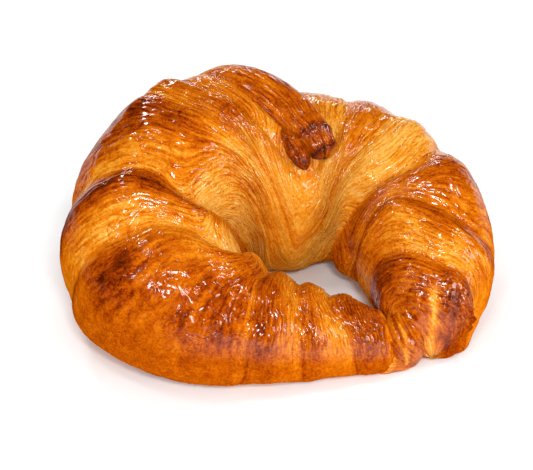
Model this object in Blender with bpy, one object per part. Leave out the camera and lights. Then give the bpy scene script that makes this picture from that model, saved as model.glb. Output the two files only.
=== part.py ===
"""A margarine croissant: a rolled triangle of laminated dough, curled until its two horns meet.

The dough is one loft along a curved spine. Its surface carries the relief of the rolled layers,
whose edges are level lines of one smooth field on the chart of the surface (millimetres along the
spine, degrees round the section). The triangle's tip lies over the top as a tongue, and a small
lip of dough closes the seam where the horns meet. All three are joined into one solid.

Units: the tables are in millimetres and degrees, the model is in metres, +Z up, the croissant
rests on its flat bottom and its origin is below the middle of its box.
"""

import math

import bmesh
import bpy
import numpy as np
from mathutils import Vector

MM = 0.001

# Stations along the spine, from the tip of the front horn round the left and the back to the tip
# of the right horn: x, y, azimuth that the outer side faces, half width, height.
STATIONS = [
    (38.5, -33.5, -80.0, 8.0, 15.5),
    (30.0, -34.5, -84.0, 10.0, 19.0),
    (17.0, -34.5, -90.0, 12.5, 23.5),
    (0.0, -34.0, -97.0, 16.8, 30.0),
    (-19.0, -30.0, -116.0, 22.6, 40.0),
    (-33.3, -16.0, -152.0, 27.8, 48.0),
    (-31.8, 7.0, -189.0, 27.6, 56.5),
    (-14.2, 21.6, -234.0, 27.4, 60.0),
    (9.5, 24.2, -270.0, 27.2, 50.5),
    (31.0, 23.0, -300.0, 23.2, 47.6),
    (44.8, 8.0, -328.0, 21.7, 43.4),
    (50.2, -9.7, -350.0, 20.9, 37.5),
    (50.0, -24.0, -358.0, 15.2, 29.0),
    (49.8, -36.6, -361.0, 10.2, 18.0),
]
CENTRE = (4.0, 0.0)  # middle of the box in the stations' own coordinates
TOP_ROUNDNESS = 2.1  # superellipse exponent above the widest level
FOOT_ROUNDNESS = 3.2  # and below it
WIDEST_LEVEL = 0.42  # height of the widest level, as a share of the height
FLAT_DEPTH = 0.5  # dough within this height of the lowest line lies flat
HORN_END_LENGTH = 6.0  # length of the rounded end of each horn
HORN_END_BLUNTNESS = 2.6  # superellipse exponent of that end
HORN_END_HEIGHT = 0.3  # height of the very end, as a share
SPINE_STEPS = 3000
STEP_ALONG = 0.4  # steps on the chart that give the surface's directions: millimetres
STEP_AROUND = 0.02  # and radians
END_MARGIN = 1.0  # the directions are read at least this far from either end

# Edges of the rolled layers: level (0 at the tongue, growing towards both horns), depth of the
# groove, and places on the chart: along the spine, angle round the section (0 out, 90 up, 180 in).
LAYER_EDGES = [
    (1, 1.9, [(122, 0), (122, 45), (122, 80), (126, 100), (132, 118), (143, 133), (156, 138), (167, 132)]),
    (1, 1.8, [(161, 0), (161, 45), (163, 70), (166, 92), (170, 112)]),
    (2, 0.7, [(115, 0), (114, 60), (112, 90), (110, 112), (114, 135), (127, 150), (148, 153), (168, 148),
              (176, 130), (177, 100), (176, 60), (175, 0)]),
    (3, 3.4, [(95, -20), (92, 20), (91, 60), (90, 80), (87, 95), (80, 108), (72, 122), (68, 140), (69, 165),
              (80, 195)]),
    (3, 3.2, [(186, 0), (188, 50), (190, 65), (192, 80), (194, 92), (194, 110), (192, 130), (190, 145),
              (186, 168), (184, 195)]),
    (4, 3.6, [(82, -20), (79, 15), (76, 45), (74, 60), (72, 80), (69, 92), (63, 101), (56, 106), (51, 113),
              (49, 130), (49, 170)]),
    (4, 2.8, [(214, 0), (214, 40), (213, 60), (211, 75), (208, 90), (204, 105), (200, 120), (199, 140),
              (200, 170)]),
    (5, 2.8, [(234, -10), (231, 15), (227, 40), (225, 60), (224, 90), (221, 110), (218, 135), (216, 160),
              (216, 185)]),
    (6, 1.5, [(240, -10), (238, 40), (236, 90), (232, 150)]),
    (5, 2.2, [(43, -20), (42, 20), (41, 60), (41, 90), (39, 112), (38, 150)]),
    (6, 2.2, [(28, -20), (28, 30), (28, 60), (29, 80), (30, 100), (28, 150)]),
    (7, 2.2, [(13, -20), (14, 20), (15, 45), (17, 60), (19, 80), (20, 100), (18, 150)]),
    (8, 1.4, [(3, -20), (3, 30), (3, 90), (3, 150)]),
]
TONGUE_AXIS = [(134, 20), (135, 60), (143, 90), (150, 112)]  # level 0
CHART_MM_PER_DEGREE = 0.5
EDGE_SAMPLES = 4  # samples of an edge for each of its places
DEPTH_BLEND = 2.0  # millimetres over which the grooves' depths blend
DEPTH_FALL = 3.0  # power of the distance by which a groove's depth loses weight
SOFTENING_PASSES = 4
RIDGE_PLACE = 0.34  # where the ridge lies between two edges, from the inner edge
VALLEY_BREADTH = 1.3  # power that hollows the slope from the ridge to the outer edge
GROOVE_SHARE = 0.5  # share of a groove's depth that is cut below the plain loft
OUTER_FADE = ((-0.7, 0.1, 0.75), (0.0, 0.35, 1.0))  # sine of the angle, share of the relief: outside
INNER_FADE = ((-0.3, 0.2, 0.85), (0.0, 0.3, 1.0))  # and towards the hole

# Local swellings: place on the chart, reach along the spine, reach in degrees, height.
SWELLINGS = [
    (200, 68, 9.0, 26.0, 1.6),
    (40, 38, 4.0, 14.0, 1.0),
]

# The tongue: place on the chart, lift of its middle, half width, half thickness.
TONGUE = [
    (140, -34, -11.0, 24.0, 4.5),
    (139, -10, -7.0, 23.0, 5.5),
    (137, 14, -4.6, 20.0, 5.8),
    (135, 34, -3.0, 16.4, 6.0),
    (134, 54, -1.6, 13.4, 6.2),
    (137, 72, -0.6, 11.0, 6.2),
    (142, 89, 0.6, 9.2, 6.0),
    (147, 105, 2.0, 7.6, 5.6),
    (151, 118, 3.2, 6.3, 5.2),
    (153, 128, 4.2, 5.6, 4.8),
    (155, 135, 4.8, 5.0, 4.4),
]
TONGUE_END_SHARE = 0.04  # share of its length that rounds off its free end
TONGUE_END_WIDTH = 0.14  # width of the very end, as a share

# The lip of dough that closes the seam between the horns: middle, half sizes, turn about +Z.
LIP_MIDDLE = (38.6, -35.2, 5.8)
LIP_HALF_SIZES = (4.4, 8.2, 6.4)
LIP_TURN = -12.0

BODY_RINGS, BODY_SIDES = 420, 180
TONGUE_RINGS, TONGUE_SIDES = 90, 48
LIP_RINGS, LIP_SIDES = 20, 28
TRIANGLES = 10800  # of the finished solid
MERGE = 0.00008  # metres: points of the union this near are one point
FLOOR_MERGE = 0.00005  # metres: points this near the table lie on it

SHARP_FROM = 50.0  # degrees between faces from which an edge is shaded sharp
CRUST_COLOR = (0.52, 0.20, 0.035, 1.0)
CRUST_ROUGHNESS = 0.32


def curve_through(rows, t):
    """Catmull-Rom curve through evenly numbered rows, read at the numbers t."""
    rows = np.asarray(rows, float)
    last = len(rows) - 1
    padded = np.vstack([2 * rows[0] - rows[1], rows, 2 * rows[-1] - rows[-2]])
    t = np.clip(np.asarray(t, float), 0, last)
    i = np.minimum(t.astype(int), last - 1)
    f = (t - i)[..., None]
    a, b, c, d = (padded[i + k] for k in range(4))
    return 0.5 * (2 * b + (c - a) * f + (2 * a - 5 * b + 4 * c - d) * f**2 + (3 * b - a - 3 * c + d) * f**3)


class Spine:
    """The stations as functions of the length along the spine."""

    def __init__(self):
        self.number = np.linspace(0, len(STATIONS) - 1, SPINE_STEPS)
        path = curve_through(STATIONS, self.number)[:, :2]
        strides = np.hypot(*np.diff(path, axis=0).T)
        self.length_at = np.concatenate([[0.0], np.cumsum(strides)])
        self.length = self.length_at[-1]

    def rows(self, s):
        return curve_through(STATIONS, np.interp(s, self.length_at, self.number))

    def point(self, s, angle):
        """Points of the plain loft at length s and angle (radians) round the section."""
        x, y, azimuth, half_width, height = np.moveaxis(self.rows(s), -1, 0)
        to_end = np.minimum(s, self.length - s) / HORN_END_LENGTH
        short_of = 1 - np.clip(to_end, 0, 1)
        end = (1 - short_of**HORN_END_BLUNTNESS) ** (1 / HORN_END_BLUNTNESS)
        half_width = half_width * end
        height = height * (HORN_END_HEIGHT + (1 - HORN_END_HEIGHT) * end)
        azimuth = np.radians(azimuth)
        across, up = np.cos(angle), np.sin(angle)
        power = np.where(up > 0, TOP_ROUNDNESS, FOOT_ROUNDNESS)
        reach = (np.abs(across) ** power + np.abs(up) ** power) ** (-1 / power)
        middle = WIDEST_LEVEL * height
        above = np.where(up > 0, height - middle, middle)
        return np.stack([
            x + np.cos(azimuth) * half_width * reach * across,
            y + np.sin(azimuth) * half_width * reach * across,
            middle + above * reach * up * end,
        ], axis=-1)

    def outward(self, s, angle):
        """Directions out of the plain loft, from two small steps on its surface."""
        s = np.clip(s, END_MARGIN, self.length - END_MARGIN)
        along = self.point(s + STEP_ALONG, angle) - self.point(s - STEP_ALONG, angle)
        around = self.point(s, angle + STEP_AROUND) - self.point(s, angle - STEP_AROUND)
        normal = np.cross(around, along)
        normal /= np.linalg.norm(normal, axis=-1, keepdims=True)
        return normal


class LayerField:
    """A smooth field on the chart that takes each layer edge's level along that edge."""

    def __init__(self):
        places, levels, depths = [], [], []
        for level, depth, line in LAYER_EDGES + [(0, 0.0, TONGUE_AXIS)]:
            t = np.linspace(0, len(line) - 1, EDGE_SAMPLES * len(line))
            places.append(curve_through(line, t))
            levels += [float(level)] * len(t)
            depths += [depth] * len(t)
        self.places = np.vstack(places) * (1.0, CHART_MM_PER_DEGREE)
        self.depths = np.array(depths)
        count = len(self.places)
        system = np.zeros((count + 3, count + 3))
        system[:count, :count] = -np.linalg.norm(self.places[:, None] - self.places[None], axis=2)
        system[:count, count] = 1
        system[:count, count + 1:] = self.places
        system[count, :count] = 1
        system[count + 1:, :count] = self.places.T
        target = np.concatenate([levels, np.zeros(3)])
        self.weights = np.linalg.solve(system, target)

    def read(self, s, angle):
        """Level and groove depth at length s and angle (radians)."""
        here = np.stack([s, np.degrees(angle) * CHART_MM_PER_DEGREE], axis=-1).reshape(-1, 2)
        gaps = np.linalg.norm(here[:, None] - self.places[None], axis=2)
        count = len(self.places)
        level = -gaps @ self.weights[:count] + self.weights[count] + here @ self.weights[count + 1:]
        near = 1 / (gaps**2 + DEPTH_BLEND**2) ** (DEPTH_FALL / 2)
        depth = (near @ self.depths) / near.sum(axis=1)
        return level.reshape(np.shape(s)), depth.reshape(np.shape(s))


def layer_profile(level):
    """Height across a layer: 0 at both its edges, 1 on its ridge, steep on the tongue's side."""
    f = level - np.floor(level)
    rising = np.sin(np.clip(f / RIDGE_PLACE, 0, 1) * math.pi / 2)
    falling = np.sin(np.clip((1 - f) / (1 - RIDGE_PLACE), 0, 1) * math.pi / 2) ** VALLEY_BREADTH
    return np.where(f < RIDGE_PLACE, rising, falling)


def side_fade(angle):
    """Share of the relief that shows: all of it on top, less down the sides, none below."""
    height = np.sin(angle)
    outer = np.interp(height, *OUTER_FADE)
    inner = np.interp(height, *INNER_FADE)
    return np.where(np.cos(angle) > 0, outer, inner)


def softened(grid):
    """The grid with the sharp bottoms of its grooves rounded a little."""
    for _ in range(SOFTENING_PASSES):
        for axis in (0, 1):
            padded = np.pad(grid, [(1, 1) if axis == k else (0, 0) for k in (0, 1)], mode="edge")
            low, high = (np.take(padded, range(k, k + grid.shape[axis]), axis=axis) for k in (0, 2))
            grid = (low + 2 * grid + high) / 4
    return grid


def body_points(spine, field):
    """Rings of the dough's surface with its relief, resting on z = 0."""
    s = np.linspace(0, spine.length, BODY_RINGS)
    angle = np.linspace(-math.pi / 2, 1.5 * math.pi, BODY_SIDES, endpoint=False)
    s, angle = np.meshgrid(s, angle, indexing="ij")
    points = spine.point(s, angle)
    level, depth = field.read(s, angle)
    to_end = np.clip(np.minimum(s, spine.length - s) / HORN_END_LENGTH, 0, 1)
    fade = side_fade(angle) * to_end
    relief = softened(depth * (layer_profile(level) - GROOVE_SHARE)) * fade
    for place, turn, reach, reach_angle, height in SWELLINGS:
        off = ((s - place) / reach) ** 2 + ((np.degrees(angle) - turn) / reach_angle) ** 2
        relief += height * np.exp(-off)
    points = points + spine.outward(s, angle) * relief[..., None]
    points[..., 2] = np.maximum(points[..., 2] - FLAT_DEPTH, 0.0)
    return points


def tongue_points(spine):
    """Rings of the tongue, a flattened roll laid along its path over the dough."""
    rows = curve_through(TONGUE, np.linspace(0, len(TONGUE) - 1, TONGUE_RINGS))
    s, angle, lift, half_width, half_thickness = rows.T
    angle = np.radians(angle)
    up = spine.outward(s, angle)
    middle = spine.point(s, angle) + up * lift[:, None]
    along = np.gradient(middle, axis=0)
    along /= np.linalg.norm(along, axis=1, keepdims=True)
    side = np.cross(along, up)
    side /= np.linalg.norm(side, axis=1, keepdims=True)
    up = np.cross(side, along)
    share = np.linspace(0, 1, TONGUE_RINGS)
    end = np.clip((share - 1 + TONGUE_END_SHARE) / TONGUE_END_SHARE, 0, 1)
    round_off = np.sqrt(1 - (1 - TONGUE_END_WIDTH**2) * end**2)
    turn = np.linspace(0, 2 * math.pi, TONGUE_SIDES, endpoint=False)
    across = side[:, None] * (half_width * round_off)[:, None, None] * np.cos(turn)[None, :, None]
    above = up[:, None] * (half_thickness * round_off)[:, None, None] * np.sin(turn)[None, :, None]
    points = middle[:, None] + across + above
    points[..., 2] -= FLAT_DEPTH
    return points


def in_metres(points):
    return (np.asarray(points, float) - (CENTRE[0], CENTRE[1], 0.0)) * MM


def lofted(name, rings):
    """A closed mesh through rings of points, with a fan at each end."""
    build = bmesh.new()
    rows = [[build.verts.new(p) for p in ring] for ring in in_metres(rings)]
    sides = len(rows[0])
    for near, far in zip(rows, rows[1:]):
        for k in range(sides):
            build.faces.new((near[k], near[(k + 1) % sides], far[(k + 1) % sides], far[k]))
    for row in (rows[0], rows[-1]):
        middle = build.verts.new(sum((v.co for v in row), Vector()) / sides)
        for k in range(sides):
            build.faces.new((row[k], row[(k + 1) % sides], middle))
    bmesh.ops.remove_doubles(build, verts=build.verts, dist=MERGE / 4)
    bmesh.ops.dissolve_degenerate(build, edges=build.edges, dist=MERGE / 4)
    bmesh.ops.recalc_face_normals(build, faces=build.faces)
    mesh = bpy.data.meshes.new(name)
    build.to_mesh(mesh)
    build.free()
    return bpy.data.objects.new(name, mesh)


def seam_lip():
    """The lip between the horns, an ellipsoid cut off by the plane that the croissant rests on."""
    build = bmesh.new()
    bmesh.ops.create_uvsphere(build, u_segments=LIP_SIDES, v_segments=LIP_RINGS, radius=1.0)
    turn = math.radians(LIP_TURN)
    for vert in build.verts:
        x, y, z = (vert.co[k] * LIP_HALF_SIZES[k] for k in range(3))
        point = (
            LIP_MIDDLE[0] + x * math.cos(turn) - y * math.sin(turn),
            LIP_MIDDLE[1] + x * math.sin(turn) + y * math.cos(turn),
            max(LIP_MIDDLE[2] + z, 0.0),
        )
        vert.co = Vector(in_metres(point))
    mesh = bpy.data.meshes.new("seam_lip")
    build.to_mesh(mesh)
    build.free()
    return bpy.data.objects.new("seam_lip", mesh)


def crust_material():
    material = bpy.data.materials.new("crust")
    material.use_nodes = True
    shader = material.node_tree.nodes["Principled BSDF"]
    shader.inputs["Base Color"].default_value = CRUST_COLOR
    shader.inputs["Roughness"].default_value = CRUST_ROUGHNESS
    shader.inputs["Metallic"].default_value = 0.0
    material.diffuse_color = CRUST_COLOR
    return material


def join(body, pieces):
    """Joins the pieces to the body with one union and removes them."""
    scene = bpy.context.scene
    holder = bpy.data.collections.new("joined_pieces")
    scene.collection.children.link(holder)
    for piece in pieces:
        holder.objects.link(piece)
        piece.hide_render = True
        piece.display_type = "WIRE"
    union = body.modifiers.new("union", "BOOLEAN")
    union.operation = "UNION"
    union.operand_type = "COLLECTION"
    union.collection = holder
    union.solver = "EXACT"
    bpy.context.view_layer.update()
    graph = bpy.context.evaluated_depsgraph_get()
    mesh = bpy.data.meshes.new_from_object(body.evaluated_get(graph))
    body.modifiers.clear()
    body.data = mesh
    for piece in pieces:
        bpy.data.objects.remove(piece, do_unlink=True)
    bpy.data.collections.remove(holder)


def lighten(body):
    """Keeps the form with far fewer triangles."""
    fewer = body.modifiers.new("fewer", "DECIMATE")
    fewer.use_collapse_triangulate = True
    fewer.ratio = TRIANGLES / len(body.data.polygons)
    bpy.context.view_layer.update()
    graph = bpy.context.evaluated_depsgraph_get()
    mesh = bpy.data.meshes.new_from_object(body.evaluated_get(graph))
    body.modifiers.clear()
    body.data = mesh


def clean(mesh):
    """Merges the near points that the union leaves, and splits the faces into triangles."""
    build = bmesh.new()
    build.from_mesh(mesh)
    bmesh.ops.remove_doubles(build, verts=build.verts, dist=MERGE)
    bmesh.ops.dissolve_degenerate(build, edges=build.edges, dist=MERGE)
    bmesh.ops.triangulate(build, faces=build.faces)
    for vert in build.verts:
        if vert.co.z < FLOOR_MERGE:
            vert.co.z = 0.0
    build.to_mesh(mesh)
    build.free()


def main():
    for thing in list(bpy.data.objects):
        bpy.data.objects.remove(thing, do_unlink=True)
    parts = bpy.data.collections.new("croissant")
    bpy.context.scene.collection.children.link(parts)
    spine = Spine()
    body = lofted("croissant", body_points(spine, LayerField()))
    parts.objects.link(body)
    tongue = lofted("tongue", tongue_points(spine))
    join(body, [tongue, seam_lip()])
    clean(body.data)
    lighten(body)
    clean(body.data)
    body.data.materials.clear()
    body.data.materials.append(crust_material())
    body.data.shade_smooth()
    body.data.set_sharp_from_angle(angle=math.radians(SHARP_FROM))


main()
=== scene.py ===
"""A glazed margarine croissant on a pale studio floor.

The dough is one loft along a curved spine, cut into four pieces so that each can be fine. The
edges of its rolled layers are level lines of one smooth field on the chart of the surface:
millimetres along the spine, degrees round the section (0 outward, 90 up, 180 towards the hole).
The same field shapes the ridges and valleys, turns the fine grain of the laminated dough along
the layers, and says how brown each place is baked. The tongue, the tip of the rolled triangle,
lies over the top with a small fold beside it, and a lip of dough closes the seam where the horns
meet.

Units: the tables are in millimetres and degrees, the scene is in metres.
"""

import math

import bpy
import numpy as np
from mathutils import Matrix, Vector

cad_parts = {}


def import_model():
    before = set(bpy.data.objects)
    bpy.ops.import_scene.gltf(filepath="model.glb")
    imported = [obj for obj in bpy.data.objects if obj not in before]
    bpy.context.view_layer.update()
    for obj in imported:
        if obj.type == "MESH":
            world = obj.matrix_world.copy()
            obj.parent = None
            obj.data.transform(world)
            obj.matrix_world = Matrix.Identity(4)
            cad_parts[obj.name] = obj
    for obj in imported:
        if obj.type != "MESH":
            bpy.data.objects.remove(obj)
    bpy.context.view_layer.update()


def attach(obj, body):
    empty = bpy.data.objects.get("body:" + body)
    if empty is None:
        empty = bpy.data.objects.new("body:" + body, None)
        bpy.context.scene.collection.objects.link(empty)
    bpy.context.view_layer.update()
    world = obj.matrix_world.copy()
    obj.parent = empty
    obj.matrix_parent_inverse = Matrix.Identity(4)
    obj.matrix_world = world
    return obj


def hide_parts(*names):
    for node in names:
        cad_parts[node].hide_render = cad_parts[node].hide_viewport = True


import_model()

MM = 0.001
SHRINK = (0.9965, 0.995, 0.999)  # keeps the fine relief inside the box of the plain solids
TINY = 1e-12  # stands in for a length of zero in a division

# The loft

# Stations along the spine, from the tip of the front horn round the left and the back to the tip
# of the right horn: x, y, azimuth that the outer side faces, half width, height.
STATIONS = [
    (38.5, -33.5, -80, 8, 15.5),
    (30, -34.5, -84, 10, 19),
    (17, -34.5, -90, 12.5, 23.5),
    (0, -34, -97, 16.8, 30),
    (-19, -30, -116, 22.6, 40),
    (-33.3, -16, -152, 27.8, 48),
    (-31.8, 7, -189, 27.6, 56.5),
    (-14.2, 21.6, -234, 27.4, 60),
    (9.5, 24.2, -270, 27.2, 50.5),
    (31, 23, -300, 23.2, 47.6),
    (44.8, 8, -328, 21.7, 43.4),
    (50.2, -9.7, -350, 20.9, 37.5),
    (50, -24, -358, 15.2, 29),
    (49.8, -36.6, -361, 10.2, 18),
]
CENTRE = (4.0, 0.0)  # middle of the box in the stations' own coordinates
TOP_ROUNDNESS = 2.1  # superellipse exponent above the widest level
FOOT_ROUNDNESS = 3.2  # and below it
WIDEST_LEVEL = 0.42  # height of the widest level, as a share of the height
FLAT_DEPTH = 0.5  # dough within this height of the lowest line lies flat
HORN_END_LENGTH = 6.0  # length of the rounded end of each horn
HORN_END_BLUNTNESS = 2.6  # superellipse exponent of that end
HORN_END_HEIGHT = 0.3  # height of the very end, as a share
SPINE_STEPS = 3000
STEP_ALONG = 0.4  # steps on the chart that give the surface's directions: millimetres
STEP_AROUND = 0.02  # and radians
END_MARGIN = 1.0  # the directions are read at least this far from either end

# The layers

# Edges of the rolled layers: level (0 at the tongue, growing towards both horns), depth of the
# groove, and places on the chart.
LAYER_EDGES = [
    (1, 1.9, [
        (124, -50), (122, 0), (122, 45), (122, 80), (126, 100), (132, 118), (141, 131),
        (151, 139), (159, 139),
    ]),
    (1, 1.6, [(158, -50), (161, 0), (161, 45), (163, 70), (164, 92), (165, 110)]),
    (2, 1.2, [
        (117, -50), (115, 0), (114, 60), (113, 90), (114, 108), (116, 123), (119, 137),
        (125, 151), (133, 162), (140, 174), (144, 186), (149, 191), (157, 187), (165, 178),
        (170, 165), (171, 150), (173, 133), (176, 115), (177, 95), (176, 60), (175, 0),
        (173, -50),
    ]),
    (3, 3.4, [
        (96, -50), (94, -10), (92, 20), (91, 60), (90, 80), (87, 95), (80, 108), (74, 121),
        (71, 140), (74, 159), (82, 175), (92, 191), (102, 205),
    ]),
    (3, 3.2, [
        (186, -50), (186, 0), (188, 50), (190, 65), (192, 80), (194, 92), (194, 110), (192, 130),
        (189, 148), (184, 168), (177, 190), (172, 208),
    ]),
    (4, 3.6, [
        (84, -50), (82, -20), (79, 15), (76, 45), (74, 60), (72, 80), (69, 92), (63, 101),
        (56, 106), (51, 113), (49, 130), (49, 170),
    ]),
    (4, 2.8, [
        (214, -50), (214, 0), (214, 40), (213, 60), (211, 75), (208, 90), (204, 105), (200, 120),
        (199, 140), (200, 170),
    ]),
    (5, 2.8, [
        (234, -50), (234, -10), (231, 15), (227, 40), (225, 60), (224, 90), (221, 110),
        (218, 135), (216, 160), (216, 185),
    ]),
    (6, 1.5, [(240, -10), (238, 40), (236, 90), (232, 150)]),
    (5, 2.2, [(46, -50), (43, -20), (42, 20), (41, 60), (41, 90), (39, 112), (38, 150)]),
    (6, 2.2, [(28, -50), (28, -20), (28, 30), (28, 60), (29, 80), (30, 100), (28, 150)]),
    (7, 2.2, [(13, -50), (13, -20), (14, 20), (15, 45), (17, 60), (19, 80), (20, 100), (18, 150)]),
    (8, 1.4, [(3, -20), (3, 30), (3, 90), (3, 150)]),
]
TONGUE_AXIS = [(140, -50), (138, -15), (135, 20), (135, 60), (143, 90), (150, 112)]  # level 0
TONGUE_PLACE = 138.0  # length at which the left side's layers give way to the right side's
SIDES_BLEND = 22.0  # and over which they do
CHART_MM_PER_DEGREE = 0.5
EDGE_SAMPLES = 4  # samples of an edge for each of its places
DEPTH_BLEND = 2.0  # millimetres over which the grooves' depths blend
DEPTH_FALL = 3.0  # power of the distance by which a groove's depth loses weight
WIDEST_SPACING = 1000.0  # most millimetres from one level to the next
SOFTENING_PASSES = 4
RIDGE_PLACE = 0.34  # where the ridge lies between two edges, from the inner edge
VALLEY_BREADTH = 1.3  # power that hollows the slope from the ridge to the outer edge
GROOVE_SHARES = (0.5, 0.70)  # share of a groove's depth cut below the plain loft: on top, outside
GROOVE_SIDE = (0.1, 0.8)  # sines of the angle between which the outer side turns into the top
# Sine of the angle and share of the relief that shows there: outside, and towards the hole.
OUTER_FADE = ((-0.9, -0.1, 0.7), (0.05, 0.6, 1.0))
INNER_FADE = ((-0.3, 0.2, 0.85), (0.0, 0.3, 1.0))
EDGE_PLACE = 0.05  # where each layer's thin edge stands up, as a share of the way to the next
EDGE_WIDTH = 0.03
EDGE_HEIGHT = 0.28
EDGE_DARKENING = 0.14  # how much darker it is on the outer side: browner crust and painted shade of the step
EDGE_HEIGHT_DEPTH = 3.0  # depth of the groove from which the edge has its full height,
EDGE_DARKENING_DEPTH = 2.0  # and from which that darkening is full

# Local swellings: place on the chart, reach along the spine, reach in degrees, height.
SWELLINGS = [
    (200, 68, 9, 26, 1.6), (40, 38, 4, 14, 1), (182, 208, 8, 20, 3),
    (192, 212, 7, 16, 1.5), (228, 168, 6, 24, 1.8), (124, 212, 14, 18, 2.4),
    (116, 60, 9, 14, 2.4), (180, 70, 7, 16, 1), (103, 58, 6, 18, -1.9),
    (213, 14, 10, 24, 0.7), (230, 0, 6, 24, -1.3),
]

# Upright folds of the right horn's end: x, half breadth, height, change of the bake.
END_FOLDS = [
    (41.8, 2.0, 0.5, 0.10),
    (44.8, 1.6, 1.0, 0.08),
    (47.4, 1.3, 0.2, 0.06),
    (49.4, 1.4, -0.5, -0.46),
    (53.2, 2.2, 0.6, 0.12),
    (56.4, 1.0, -0.6, 0.10),
]
END_FOLDS_FROM = (-27.0, -31.0)  # y where they begin and where they are full
END_FOLDS_SIDE = (0.0, 10.0)  # lengths past the tongue that keep them off the front horn
END_FOLDS_FADE = (0.0, 0.5)  # share of the horn's rounded end over which they fade
END_FOLDS_BENDS = (5.0, 0.9, 101, 1)  # noise that bends them: size, height, seed, octaves

# The tongue

# Place on the chart, lift of its middle, half width, half thickness.
TONGUE = [
    (138, 2, -14, 17, 5),
    (137, 12, -11.6, 17, 5.6),
    (136, 24, -9, 16.6, 6),
    (135, 38, -5.4, 15.4, 6.2),
    (134, 53, -2, 13.6, 6.2),
    (137, 72, -0.6, 11, 6.2),
    (142.5, 89, 0.6, 9, 6),
    (148.5, 103, 2, 7, 5.6),
    (153.6, 112, 3, 5.5, 5.2),
    (157.4, 120, 3.8, 4.6, 4.7),
    (160.4, 129.5, 4.2, 4, 4.2),
]
TONGUE_ARCH = (2.0, 1.0)  # how hollow its sides are, at its start and at its free end
TONGUE_ARCH_LENGTHS = (25.0, 70.0)  # lengths between which that changes
TONGUE_CLEAR = (22.0, 42.0)  # lengths between which it comes out of the dough
TONGUE_COVERED_RELIEF = (0.2, 1.0)  # share of its relief before that, and after
TONGUE_COVERED_GLAZE = (0.1, 0.9)  # and its glaze
TONGUE_COVERED_PALER = 0.16
TONGUE_END_LENGTH = 4.6  # length that rounds off its free end
TONGUE_END_WIDTH = 0.10  # width of the very end, as a share
TONGUE_TIP = (6.0, 9.4)  # lengths from the free end between which the burnt tip ends
TONGUE_TIP_BAKE = 0.09
TONGUE_BAKE = 0.58
TONGUE_GRAIN_RUN = 11.0
TONGUE_GRAIN = (5.0, 5.0, 1.0)  # how fast its laminations change: twice across it, and along it
TONGUE_SHADER_GRAIN = 2.2  # the shader's laminations, as a share of those
# Noises of the tongue: how much finer than their coordinates, height, seed, octaves.
TONGUE_LINES = ((10.0, 10.0, 1.4), 1.0, 71, 2)
TONGUE_LINES_HEIGHT, TONGUE_LINES_BAKE = 0.22, 0.14
TONGUE_LAMINATIONS = (1.0, 0.16, 72, 2)
TONGUE_DENTS = (3.8, 0.09, 73, 2)  # size in millimetres first
TONGUE_MOTTLING = (0.5, 0.10, 79, 2)
FOLD_BENDS = (2.0, 0.3, 75, 1)
# Folds across the burnt tip: distance from the end, slant, depth, breadth.
TONGUE_FOLDS = [(8.4, 1.0, 0.6, 1.4), (2.6, -0.9, 0.6, 0.9)]
FOLD_STEEPNESS, FOLD_BAKE = 4.0, 0.25

# Small rolls of dough

SEAM_LIP = [  # closes the seam between the horns: stations' coordinates and radius
    (38.4, -25, 9, 2),
    (38.8, -29, 11.2, 3.4),
    (39.6, -33.4, 11.6, 4.5),
    (41, -35.8, 9, 5.4),
    (41.6, -35.8, 6, 5.6),
    (40.8, -36.2, 3.4, 4.9),
    (36.4, -38.8, 2.2, 3.2),
    (32.6, -39.2, 1.4, 1.6),
]
SEAM_LIP_BAKE = (0.66, 0.56)  # at its two ends
SEAM_CREASE = (0.2, 0.7, 0.7)  # between the horns: from the roll's middle, half breadth, depth
CREASE_PALER = 0.30
SEAM_LIP_SEED, TONGUE_FOLD_SEED = 121, 111
TONGUE_FOLD = [  # beside the tongue's tip: chart place, lift and radius
    (142, 113, -0.8, 1.6),
    (144.2, 118.5, 0.6, 2.3),
    (146.4, 123.5, 1.2, 2.7),
    (148.8, 127.8, 1.4, 2.7),
    (151.2, 131.5, 1.2, 2.3),
    (153.2, 135.5, 0.4, 1.2),
]
TONGUE_FOLD_BAKE = (0.62, 0.88)
ROLL_REFERENCE = (0.6, 0.0, 0.8)  # a direction that no small roll follows
ROLL_BLUNTNESS = 6.0
ROLL_END_AREA = 0.01  # of the very end, as a share
ROLL_GRAIN = (2.0, 2.0, 3.0)  # how fast its noises change: twice across the roll, and along it
ROLL_SHADER_GRAIN = 3.0
ROLL_GLAZE = 0.7
# Noises of a roll: how much finer than its coordinates, height, seed from the roll's, octaves.
ROLL_LUMPS = (1.5, 0.25, 0, 2)
ROLL_MOTTLING = (1.0, 0.12, 2, 2)
ROLL_WRINKLES = (5.625, 0.15, 1, 2)  # size in millimetres first
CREASE_BENDS = (3.0, 0.5, 3, 1)  # and here

# The bake

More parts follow.
